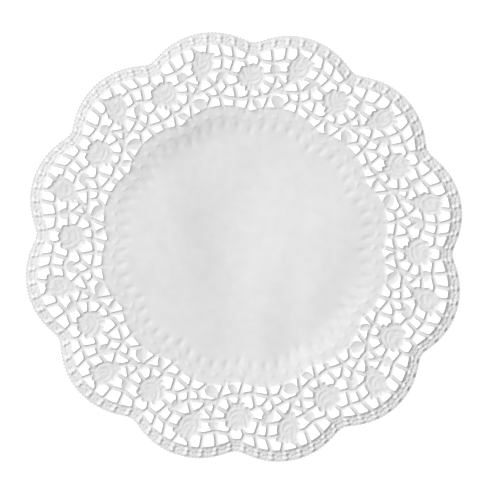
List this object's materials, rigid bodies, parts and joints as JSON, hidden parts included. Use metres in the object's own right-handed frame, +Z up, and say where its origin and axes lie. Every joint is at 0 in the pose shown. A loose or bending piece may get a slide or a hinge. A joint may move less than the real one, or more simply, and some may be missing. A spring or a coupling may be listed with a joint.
{
  "type": "round lace paper doily",
  "caption": "Flat round doily with a scalloped rim, a band of open lace with flowers and leaves, and a plain centre, to lie under a cake or on a plate.",
  "frame": {"origin": "middle of the round sheet, on its flat underside", "axes": "+Z up out of the embossed face, +Y to the middle of one notch between two scallops, +X to another notch"},
  "size_m": [0.293, 0.293, 0.0017],
  "materials": {
    "lace_paper": "matte embossed white paper"
  },
  "bodies": {
    "root": {"doily": "lace_paper"}
  },
  "joints": []
}
